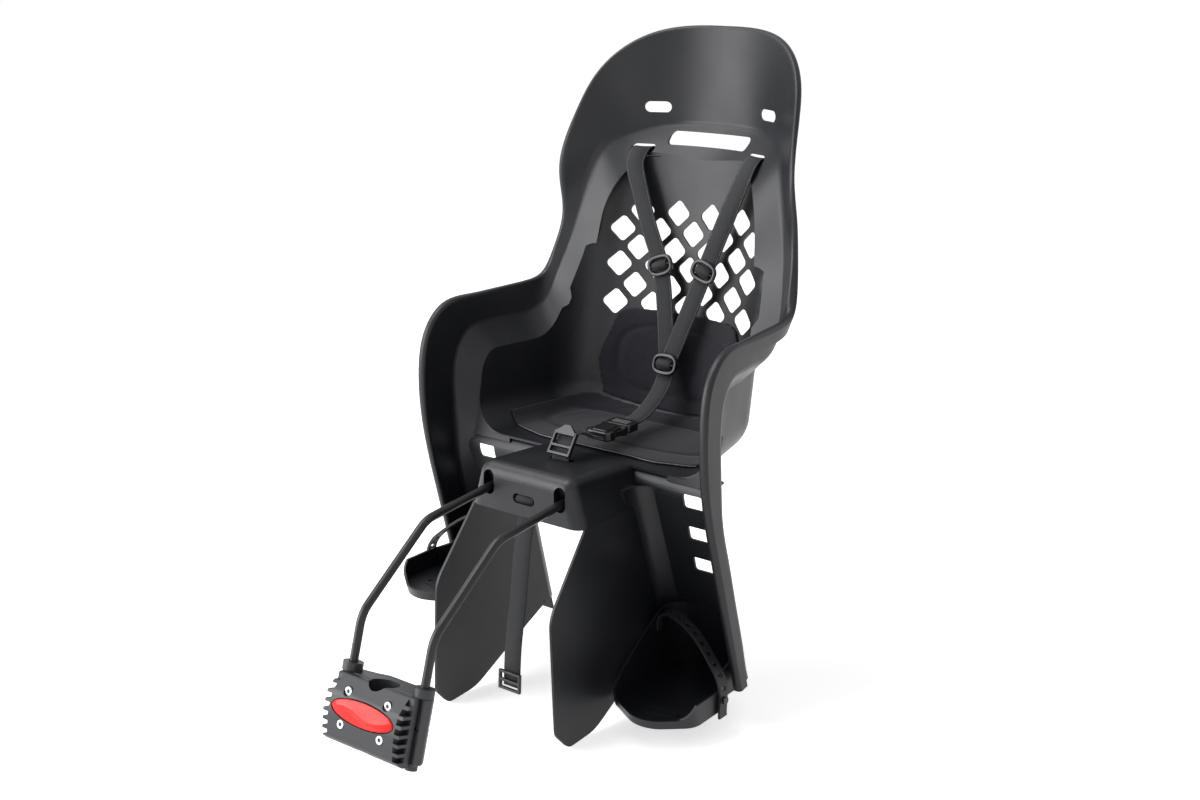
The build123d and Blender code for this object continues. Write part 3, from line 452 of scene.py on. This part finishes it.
def stitch_tree():
    """Geometry Nodes: rows of thread along each edge line, a stitch every pitch."""
    tree = bpy.data.node_groups.new("stitch_rows", "GeometryNodeTree")
    sockets = (("Geometry", "NodeSocketGeometry"), ("Pitch", "NodeSocketFloat"),
               ("Length", "NodeSocketFloat"), ("Thickness", "NodeSocketFloat"),
               ("Thread", "NodeSocketMaterial"))
    for name, kind in sockets:
        tree.interface.new_socket(name, in_out="INPUT", socket_type=kind)
    tree.interface.new_socket("Geometry", in_out="OUTPUT", socket_type="NodeSocketGeometry")
    source = add_node(tree, "NodeGroupInput")
    line = add_node(tree, "GeometryNodeMeshToCurve", links={"Mesh": (source, "Geometry")})
    spots = add_node(tree, "GeometryNodeCurveToPoints", {"mode": "LENGTH"},
                     links={"Curve": (line, "Curve"), "Length": (source, "Pitch")})
    loop = add_node(tree, "GeometryNodeMeshUVSphere",
                    inputs={"Segments": 6, "Rings": 4, "Radius": 0.5})
    size = add_node(tree, "ShaderNodeCombineXYZ",
                    links={"X": (source, "Thickness"), "Y": (source, "Thickness"),
                           "Z": (source, "Length")})
    row = add_node(tree, "GeometryNodeInstanceOnPoints",
                   links={"Points": (spots, "Points"), "Instance": (loop, "Mesh"),
                          "Rotation": (spots, "Rotation"), "Scale": (size, "Vector")})
    real = add_node(tree, "GeometryNodeRealizeInstances", links={"Geometry": (row, "Instances")})
    dyed = add_node(tree, "GeometryNodeSetMaterial",
                    links={"Geometry": (real, "Geometry"), "Material": (source, "Thread")})
    add_node(tree, "NodeGroupOutput", links={"Geometry": (dyed, "Geometry")})
    return tree


def sewn(name, rows, body):
    """Stitches along open lines of points."""
    mesh = bpy.data.meshes.new(name)
    points, edges = [], []
    for row in rows:
        edges += [(len(points) + i, len(points) + i + 1) for i in range(len(row) - 1)]
        points += row
    mesh.from_pydata(points, edges, [])
    holder = bpy.data.objects.new(name, mesh)
    scene.collection.objects.link(holder)
    modifier = holder.modifiers.new("stitches", "NODES")
    modifier.node_group = stitch_tree()
    values = {"Pitch": STITCH_PITCH * MM, "Length": STITCH_LENGTH * MM,
              "Thickness": STITCH_THICK * MM, "Thread": THREAD}
    for item in modifier.node_group.interface.items_tree:
        if item.in_out == "INPUT" and item.name in values:
            modifier[item.identifier] = values[item.name]
    result = plain_mesh(holder)
    bpy.data.objects.remove(holder)
    finish_piece(f"{name}_rows", result, "webbing", body)


def edge_rows(frames, front):
    """The two sewn edge lines on one face of a strap."""
    reach = (WEB_WIDTH / 2 - STITCH_INSET) * MM
    lift = front * (WEB_THICK / 2 + STITCH_LIFT) * MM
    return [[p + flat * (side * reach) + out * lift for p, flat, out, _ in frames]
            for side in (-1, 1)]


def make_harness():
    """Shoulder straps, lower strap and crotch strap, with their sewn edges."""
    rows = []
    keeper_y, keeper_z = KEEPER
    for side, s, ring_x, end_y in SHOULDERS:
        x = s * BELT_SLOT_X
        route = [(x, keeper_y + KEEPER_REACH * math.cos(a), keeper_z + KEEPER_REACH * math.sin(a))
                 for a in map(math.radians, (-60, -20, 20, 60))]
        route += [(x, 600, 533.4), (x, 594, 533.6), (x, 587, 530.8), (x - s, 578.5, 522.5),
                  (x - s * 2, 572.5, 513), (x - s * 15, 568.5, 480),
                  (x - s * STRAP_DRAW, 564.5, 438), (ring_x, *ADJUSTER_AT),
                  (ring_x * STRAP_CLOSE, 548 - 1.6 * s, 335), (ring_x * 0.1, end_y, 277)]
        frames = strap_frames(smooth_route(route), (1, 0, 0), (1, -s * math.tan(SLOT_TURN), 0))
        add_strap(f"shoulder_webbing_{side}", frames, f"shoulder_strap_{side}")
        rows += edge_rows(frames, -1)
    lower = [(0, 538, 281), (0, 534, 270), (0, 529, 258), (2, 517, 244.5), (4, 497, 231),
             (7, 471, 222), (8, 452, 218.2), (8, 439, 218)]
    crotch = [(0, 320.2, 197), (0, 319.6, 192.4), (0, 316, 191), (0, 312.4, 193.5),
              (0, 312.4, 199), (0, 314, 207), (0, 320, 218), (0, 329, 229), (0, 340, 231),
              (2, 352, 225), (5, 362, 219), (7, 371, 218)]
    for name, route, front in (("lower", lower, -1), ("crotch", crotch, 1)):
        frames = strap_frames(smooth_route(route), (1, 0, 0))
        add_strap(f"{name}_webbing", frames, f"{name}_strap")
        rows += edge_rows(frames, front)
    sewn("harness_thread", rows, "seat")


def make_safety_strap(slide):
    """Loop round its keeper, and the free end that hangs with its slide. The slide passed in is not
    used.
    """
    loop = [(0, 254.6, 163), (0, 254.35, 171), (0, 253.2, 173.9), (0, 250.3, 175.05),
            (0, 247.4, 173.9), (0, 246.25, 171), (0, 247.2, 168), (0, 250, 163)]
    hang = [(0, 250, 163), (0, 250.4, 154), (0, 248, 143), (0, 243, 125), (0, 237, 90),
            (0, 233, 55), (0, 226, 20), (0, 220, -15), (0, 218, -56)]
    add_strap("safety_strap_loop", strap_frames(smooth_route(loop), (1, 0, 0)))
    line = smooth_route(hang)
    frames = strap_frames(line, (1, 0, 0))
    strap = add_strap("safety_strap_free_end", frames, "safety_strap")


def strap_axes(ahead):
    """Sideways, along and outward directions of a fitting that lies on a strap."""
    up = Vector(ahead).normalized()
    flat = (Vector((1, 0, 0)) - up * up.x).normalized()
    return flat, up, flat.cross(up)


def bevelled(build, name, radius, segments=3):
    """Round all sharp edges of a mesh under construction and hand it over."""
    bmesh.ops.remove_doubles(build, verts=build.verts, dist=MERGE)
    bmesh.ops.recalc_face_normals(build, faces=build.faces)
    sharp = [e for e in build.edges if len(e.link_faces) == 2 and e.calc_face_angle() > SHARP]
    bmesh.ops.bevel(build, geom=sharp, offset=radius * MM, segments=segments, profile=0.5,
                    affect="EDGES", clamp_overlap=True)
    return to_mesh(build, name)


def add_prism(build, outline, low, top, place):
    """Straight-sided solid over an outline; place turns (x, y, z) millimetres into a point."""
    floor = [build.verts.new(place(x, y, low)) for x, y in outline]
    roof = [build.verts.new(place(x, y, top)) for x, y in outline]
    build.faces.new(floor[::-1])
    build.faces.new(roof)
    bridge(build, floor, roof)


def box_outline(x, y, wide, tall):
    """Rectangle round a centre."""
    return [(x - wide / 2, y - tall / 2), (x + wide / 2, y - tall / 2),
            (x + wide / 2, y + tall / 2), (x - wide / 2, y + tall / 2)]


def joined(name, meshes):
    """One mesh from several."""
    build = bmesh.new()
    for mesh in meshes:
        build.from_mesh(mesh)
        bpy.data.meshes.remove(mesh)
    return to_mesh(build, name)


def squarish(angle, power):
    """Point at an angle on a round form of half size one, squarer as the power falls."""
    c, s = math.cos(angle), math.sin(angle)
    return math.copysign(abs(c) ** power, c), math.copysign(abs(s) ** power, s)


def oval_ring(name, centre, ahead):
    """Moulded oval ring with a cross bar, as on strap adjusters."""
    flat, up, out = strap_axes(ahead)
    a, b = (RING_WIDTH - RING_BAND) / 2, (RING_HEIGHT - RING_BAND) / 2
    build = bmesh.new()

    def oval(t):
        c, s = squarish(t, RING_POWER)
        return Vector((a * c, b * s))

    rings = []
    for t in turns(RING_STEPS):
        along = oval(t + 0.01) - oval(t - 0.01)
        away = Vector((along.y, -along.x)).normalized()
        ring = []
        for q in turns(RIM_STEPS):
            c, s = squarish(q, RIM_POWER)
            spot = oval(t) + away * (RING_BAND / 2 * c)
            deep = RING_DEPTH / 2 * s
            ring.append(build.verts.new(centre + (flat * spot.x + up * spot.y + out * deep) * MM))
        rings.append(ring)
    for near, far in zip(rings, rings[1:] + rings[:1]):
        bridge(build, near, far)
    bar = []
    for x in (-a, a):
        bar.append([build.verts.new(centre + (flat * x + up * RING_BAR_TALL * math.cos(q)
                                              + out * RING_BAR_DEEP * math.sin(q)) * MM)
                    for q in turns(RIM_STEPS)])
    bridge(build, *bar)
    build.faces.new(bar[0][::-1])
    build.faces.new(bar[1])
    return facing_out(build, name)


def make_rings():
    """Two strap adjusters and the junction ring, each with the webbing folded over its bar."""
    spots = [(f"adjuster_{side}", Vector((x, *ADJUSTER_AT)),
              (s * BELT_SLOT_X - s * STRAP_DRAW - x * STRAP_CLOSE, 17, 103))
             for side, s, x, _ in SHOULDERS]
    spots.append(("junction_ring", Vector((0, 529.2, 271)), (0, 0.293, 1)))
    fold = ((6.6, -2.6), (6.2, 0.5), (4.6, 4.4), (1.8, 7.2), (-1.8, 7.2), (-4.6, 4.4),
            (-6.2, 0.5), (-6.6, -2.6))
    for name, spot, ahead in spots:
        flat, up, out = strap_axes(ahead)
        centre = (spot + out * RING_LIFT) * MM
        ring = oval_ring(name, centre, ahead)
        finish_piece(f"{name}_oval", ring, "fitting_plastic", "seat", name)
        route = [spot + up * v + out * n for v, n in fold]
        frames = strap_frames(smooth_route(route), flat)
        add_strap(f"{name}_fold", frames, width=FOLD_WIDTH)


def slide_frame(name, spot, ahead, size, bars, tab):
    """Strap slide: two rails, its cross bars (y, height, rise), and a lifting tab if it has one."""
    wide, tall, thick = size
    flat, up, out = strap_axes(ahead)
    centre = Vector(spot) + out * SLIDE_LIFT

    def place(x, y, z):
        return (centre + flat * x + up * y + out * z) * MM

    build = bmesh.new()
    for side in (-1, 1):
        rail = box_outline(side * (wide - SLIDE_RAIL) / 2, 0, SLIDE_RAIL, tall)
        add_prism(build, rail, -thick / 2, thick / 2, place)
    for y, height, rise in bars:
        bar = box_outline(0, y, wide - SLIDE_RAIL, height)
        add_prism(build, bar, -thick / 2 + rise, thick / 2 + rise, place)
    if tab:
        root_x, root_y, tip_y = wide / 2 - TAB_INSET, tall / 2 - TAB_LAP, tall / 2 + tab
        outline = [(-root_x, root_y), (root_x, root_y), (TAB_HALF, tip_y), (-TAB_HALF, tip_y)]
        add_prism(build, outline, -thick / 2 + TAB_FLOOR, thick / 2 + TAB_ROOF, place)
    return bevelled(build, name, SLIDE_ROUND)


def make_slides():
    """Ladder lock of the crotch strap, and the slide at the safety strap's end, handed back."""
    slides = (
        ("crotch_ladder_lock", "ladder_lock", (0, 320.5, 218.5), (0, 15, 22), (33, 30, 5),
         ((12.6, 4.6, 0.6), (-3.4, 3.4, 0), (-13.2, 3.6, 0)), 8.0),
        ("safety_slide", "safety_fitting", (0, 218, -48), (0, 2, 41), (33, 24, 4),
         ((10.4, 3.2, 0), (0, 3.4, 0), (-10.4, 3.2, 0)), 0.0),
    )
    for name, node, *form in slides:
        piece = finish_piece(name, slide_frame(name, *form), "fitting_plastic", "seat", node,
                             smooth=False)
    return piece


def make_springs():
    """The two coil springs behind the lock arms, a merged copy of the imported solid."""
    mesh = to_mesh(merged_copy("button_springs", MERGE), "release_coil_springs")
    springs = finish_piece("release_coil_springs", mesh, "bright_steel", "seat", "button_springs")
    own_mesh(springs)


def make_buckle():
    """Side-release buckle: socket with side windows, and plug with spring arms and grip ribs."""
    def at(y0):
        return lambda x, y, z: Vector((BUCKLE_X + x, y0 + y, BUCKLE_Z + z)) * MM

    def add_half(name, node, body, detail):
        pieces = [bevelled(body, f"{name}_body", BODY_ROUND, 4),
                  bevelled(detail, f"{name}_detail", DETAIL_ROUND, 2)]
        finish_piece(name, joined(name, pieces), "fitting_plastic", "seat", node, smooth=False)

    socket = mirrored([(13, -20), (19, -15), (19, -7), (14.5, -4), (14.5, 11), (19, 14), (19, 20)])
    body, panel, place = bmesh.new(), bmesh.new(), at(SOCKET_Y)
    add_prism(body, socket, -6, 5.4, place)
    add_prism(panel, box_outline(0, -2, 19, 26), 5.2, 6.6, place)
    for x in (-11.6, 11.6):
        add_prism(panel, box_outline(x, -9, 2.2, 15), 5.2, 6.4, place)
    add_half("buckle_socket", "buckle_female", body, panel)

    plug = mirrored([(14, -12), (19, -8), (19, 7), (15, 12.5)])
    body, arms, place = bmesh.new(), bmesh.new(), at(PLUG_Y)
    add_prism(body, plug, -5.5, 4.8, place)
    for y in (-5, -1, 3):
        add_prism(arms, box_outline(0, y, 25, 1.8), 4.6, 5.9, place)
    for s in (-1, 1):
        arm = [(s * 15.4, -14), (s * 18.4, -16), (s * 19, -30), (s * 15.6, -36)]
        add_prism(arms, arm, -3.6, 3.6, place)
    add_half("buckle_plug", "buckle_male", body, arms)


def make_bar_pockets():
    """Sloping recesses behind the bar's two holes, which close the pommel's front round the bar."""
    radius, straight = POCKET_WIDE / 2, (POCKET_TALL - POCKET_WIDE) / 2
    outline = [(radius * math.cos(t), math.copysign(straight, math.sin(t)) + radius * math.sin(t))
               for t in turns(POCKET_STEPS)]
    draft_x, draft_z = POCKET_DRAFT
    for side, s in (("left", 1), ("right", -1)):
        build = bmesh.new()
        front, floor = [], []
        for x, z in outline:
            deep = POCKET_FLOOR + POCKET_SLOPE * (0.5 - z / POCKET_TALL)
            mouth = Vector((s * POCKET_X + x, POCKET_FRONT, POCKET_Z + z))
            foot = Vector((s * POCKET_X + x * draft_x, deep, POCKET_Z + z * draft_z))
            front.append(build.verts.new(mouth * MM))
            floor.append(build.verts.new(foot * MM))
        bridge(build, front, floor)
        build.faces.new(floor)
        bmesh.ops.solidify(build, geom=build.faces[:], thickness=POCKET_WALL * MM)
        name = f"bar_pocket_{side}"
        finish_piece(name, facing_out(build, name), "shell_plastic", "seat", smooth=False)


def make_button():
    """Red release button with an S-shaped thumb ridge across its dome."""
    def place(x, y, z):
        return Vector((x, y * math.cos(TUBE_LEAN) + z * math.sin(TUBE_LEAN),
                       z * math.cos(TUBE_LEAN) - y * math.sin(TUBE_LEAN))) * MM

    def height(u, v):
        r = min(1.0, math.hypot(u, v))
        ridge = RIDGE_SWING * math.sin(RIDGE_WAVES * math.pi * (u + RIDGE_SHIFT))
        swell = math.exp(-((v - ridge) / RIDGE_WIDTH) ** 2) * (1 - r ** 3)
        return BUTTON_RIM - BUTTON_DOME * (1 - r ** 4) - RIDGE_RISE * swell

    build = bmesh.new()
    centre = build.verts.new(place(0, height(0, 0), 0))
    loops = []
    for i in range(1, BUTTON_RINGS + 1):
        r = i / BUTTON_RINGS
        disc = [(r * math.cos(t), r * math.sin(t)) for t in turns(BUTTON_STEPS)]
        loops.append([build.verts.new(place(BUTTON_X * u, height(u, v), BUTTON_Z * v))
                      for u, v in disc])
    for y, scale in BUTTON_SKIRT:
        loops.append([build.verts.new(place(BUTTON_X * scale * math.cos(t), y,
                                            BUTTON_Z * scale * math.sin(t)))
                      for t in turns(BUTTON_STEPS)])
    for k in range(BUTTON_STEPS):
        j = (k + 1) % BUTTON_STEPS
        build.faces.new((centre, loops[0][k], loops[0][j]))
        for near, far in zip(loops, loops[1:]):
            build.faces.new((near[k], far[k], far[j], near[j]))
    build.faces.new(loops[-1][::-1])
    mesh = facing_out(build, "thumb_button")
    finish_piece("thumb_button", mesh, "red_plastic", "release", "release_button")


def outline_depth(x, y, outline):
    """How far a point lies inside a closed outline of its plane, negative outside."""
    best, inside = 1e9, False
    for (ax, ay), (bx, by) in zip(outline, outline[1:] + outline[:1]):
        dx, dy = bx - ax, by - ay
        share = ((x - ax) * dx + (y - ay) * dy) / (dx * dx + dy * dy)
        share = min(1.0, max(0.0, share))
        best = min(best, math.hypot(x - ax - share * dx, y - ay - share * dy))
        if (ay > y) != (by > y) and x < ax + (y - ay) / dy * dx:
            inside = not inside
    return best if inside else -best


def weld_depth(x, y, contour):
    """How far a point lies inside a pad's pressed oval, given by its centre and half sizes."""
    cx, cy, a, b = contour
    reach = abs((x - cx) / a) ** WELD_POWER + abs((y - cy) / b) ** WELD_POWER
    return (1 - reach ** (1 / WELD_POWER)) * b


def blow_up(holder, held):
    """Cloth pressure on a pad, with its held points pinned and its motion capped."""
    group = holder.vertex_groups.new(name="held")
    for i, weight in enumerate(held):
        if weight > 0:
            group.add([i], weight, "REPLACE")
    cloth = holder.modifiers.new("blow_up", "CLOTH")
    cloth.settings.use_pressure = True
    cloth.settings.uniform_pressure_force = CLOTH_PRESSURE
    cloth.settings.vertex_group_mass = "held"
    cloth.settings.effector_weights.gravity = 0.0
    cloth.settings.quality = CLOTH_QUALITY
    cloth.collision_settings.use_collision = False
    cloth.point_cache.frame_start = 1
    cloth.point_cache.frame_end = CLOTH_FRAMES
    for number in range(1, CLOTH_FRAMES + 1):
        scene.frame_set(number)
    blown = plain_mesh(holder)
    holder.modifiers.remove(cloth)
    for vertex, moved in zip(holder.data.vertices, blown.vertices):
        step = moved.co - vertex.co
        if step.length > PAD_SWELL * MM:
            step *= PAD_SWELL * MM / step.length
        vertex.co += step
    bpy.data.meshes.remove(blown)
    scene.frame_set(1)


def sink(mesh, depths):
    """Move each point of a mesh inward along its normal, by its own depth in metres."""
    steps = [v.normal * depth for v, depth in zip(mesh.vertices, depths)]
    for vertex, step in zip(mesh.vertices, steps):
        vertex.co -= step


def make_pad(node, outline, plane, front, contour, cut_top):
    """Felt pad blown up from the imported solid, held along its edge and its pressed contour."""
    start = to_mesh(merged_copy(node, PAD_MERGE), f"{node}_start")
    holder = bpy.data.objects.new(f"{node}_start", start)
    scene.collection.objects.link(holder)
    even = holder.modifiers.new("even", "REMESH")
    even.mode = "VOXEL"
    even.voxel_size = PAD_VOXEL * MM
    mesh = plain_mesh(holder)
    holder.modifiers.remove(even)
    holder.data = mesh
    front = Vector(front)
    spots = [(v.co[plane[0]] / MM, v.co[plane[1]] / MM) for v in mesh.vertices]
    depths = [outline_depth(x, y, outline) for x, y in spots]
    welds = [weld_depth(x, y, contour) for x, y in spots]
    facing = [v.normal.dot(front) > PAD_FACING for v in mesh.vertices]
    sink(mesh, [PAD_SHRINK * MM if ahead else 0.0 for ahead in facing])
    held = [1.0 if not ahead or depth < HELD_EDGE or abs(weld) < HELD_WELD else 0.0
            for ahead, depth, weld in zip(facing, depths, welds)]
    blow_up(holder, held)
    smoother = bmesh.new()
    smoother.from_mesh(mesh)
    for _ in range(PAD_SMOOTH):
        bmesh.ops.smooth_vert(smoother, verts=smoother.verts, factor=0.5, use_axis_x=True,
                              use_axis_y=True, use_axis_z=True)
    smoother.to_mesh(mesh)
    smoother.free()
    mesh.update()
    sink(mesh, [WELD_DEPTH * MM * math.exp(-(weld / WELD_WIDTH) ** 2) if ahead else 0.0
                for ahead, weld in zip(facing, welds)])
    mesh.materials.clear()
    mesh.materials.append(MATERIALS["pad_felt"])
    mesh.materials.append(FOAM_EDGE)
    for polygon in mesh.polygons:
        near = min(depths[i] for i in polygon.vertices)
        turned = polygon.normal.dot(front) > CUT_BACK
        if near < CUT_EDGE and turned and polygon.center.z < cut_top * MM:
            polygon.material_index = 1
    finer = holder.modifiers.new("finer", "SUBSURF")
    finer.levels = finer.render_levels = 1
    mesh = plain_mesh(holder)
    bpy.data.objects.remove(holder)
    pad = finish_piece(f"{node}_felt", mesh, "pad_felt", "seat", node)


def make_pads():
    """Seat pad, with its foam's cut edge in sight along the front, and back pad."""
    outline = mirrored([(86, 381), (142, 398), (172, 418), (160, 480), (120, 540)])
    make_pad("seat_pad", outline, (0, 1), (0, -0.2, 1), (0, 462, 126, 48), 198.3)
    outline = [(-96, 205), (96, 205), (112, 262), (90, 330), (-90, 330), (-112, 262)]
    make_pad("back_pad", outline, (0, 2), (0, -1, 0.2), (0, 268, 84, 43), 0.0)


def set_camera():
    """Camera at the photograph's viewing angle."""
    data = bpy.data.cameras.new("photo_camera")
    data.lens = CAMERA_LENS
    data.sensor_width = CAMERA_SENSOR
    data.clip_end = CAMERA_REACH
    camera = bpy.data.objects.new("photo_camera", data)
    camera.location = CAMERA_PLACE
    camera.rotation_euler = (math.radians(90 - CAMERA_DIP), 0, math.radians(CAMERA_TURN))
    scene.collection.objects.link(camera)
    scene.camera = camera


def add_area(name, place, target, size, energy):
    """Soft disc lamp that faces a target."""
    data = bpy.data.lights.new(name, "AREA")
    data.shape = "DISK"
    data.size = size
    data.energy = energy
    lamp = bpy.data.objects.new(name, data)
    lamp.location = place
    lamp.rotation_euler = (Vector(target) - Vector(place)).to_track_quat("-Z", "Y").to_euler()
    scene.collection.objects.link(lamp)


def white_to_view(tree):
    """One for camera, mirror and glass rays, else nought."""
    path = add_node(tree, "ShaderNodeLightPath")
    seen = add_node(tree, "ShaderNodeMath", {"operation": "MAXIMUM"},
                    links={0: (path, "Is Camera Ray"), 1: (path, "Is Glossy Ray")})
    return add_node(tree, "ShaderNodeMath", {"operation": "MAXIMUM"},
                    links={0: (seen, "Value"), 1: (path, "Is Transmission Ray")})


def set_stage():
    """White paper floor that keeps the shadow, white surround, and soft studio lamps."""
    low = cad_box[0][2] - FLOOR_DROP * MM
    mesh = bpy.data.meshes.new("paper_floor")
    signs = ((-1, -1), (1, -1), (1, 1), (-1, 1))
    corners = [(x * FLOOR_HALF, y * FLOOR_HALF, low) for x, y in signs]
    mesh.from_pydata(corners, [], [(0, 1, 2, 3)])
    floor = bpy.data.objects.new("paper_floor", mesh)
    scene.collection.objects.link(floor)
    material, tree, shader = new_material("white_paper", "f4f4f4", 0.95, Specular_IOR_Level=0.1)
    lift = add_node(tree, "ShaderNodeMath", {"operation": "MULTIPLY"}, {1: FLOOR_LIFT},
                    {0: (white_to_view(tree), "Value")})
    shader.inputs["Emission Color"].default_value = (1, 1, 1, 1)
    tree.links.new(lift.outputs["Value"], shader.inputs["Emission Strength"])
    mesh.materials.append(material)
    world = bpy.data.worlds.new("studio")
    scene.world = world
    world.use_nodes = True
    tree = world.node_tree
    back = tree.nodes["Background"]
    back.inputs["Color"].default_value = (1, 1, 1, 1)
    level = add_node(tree, "ShaderNodeMapRange", inputs={"To Min": WORLD_LEVEL, "To Max": 1.0},
                     links={"Value": (white_to_view(tree), "Value")})
    tree.links.new(level.outputs["Result"], back.inputs["Strength"])
    for lamp in LAMPS:
        add_area(*lamp)


make_shell()
make_harness()
make_safety_strap(make_slides())
make_rings()
make_buckle()
make_bar_pockets()
make_springs()
make_button()
make_pads()
set_camera()
set_stage()
scene.view_settings.view_transform = "Standard"
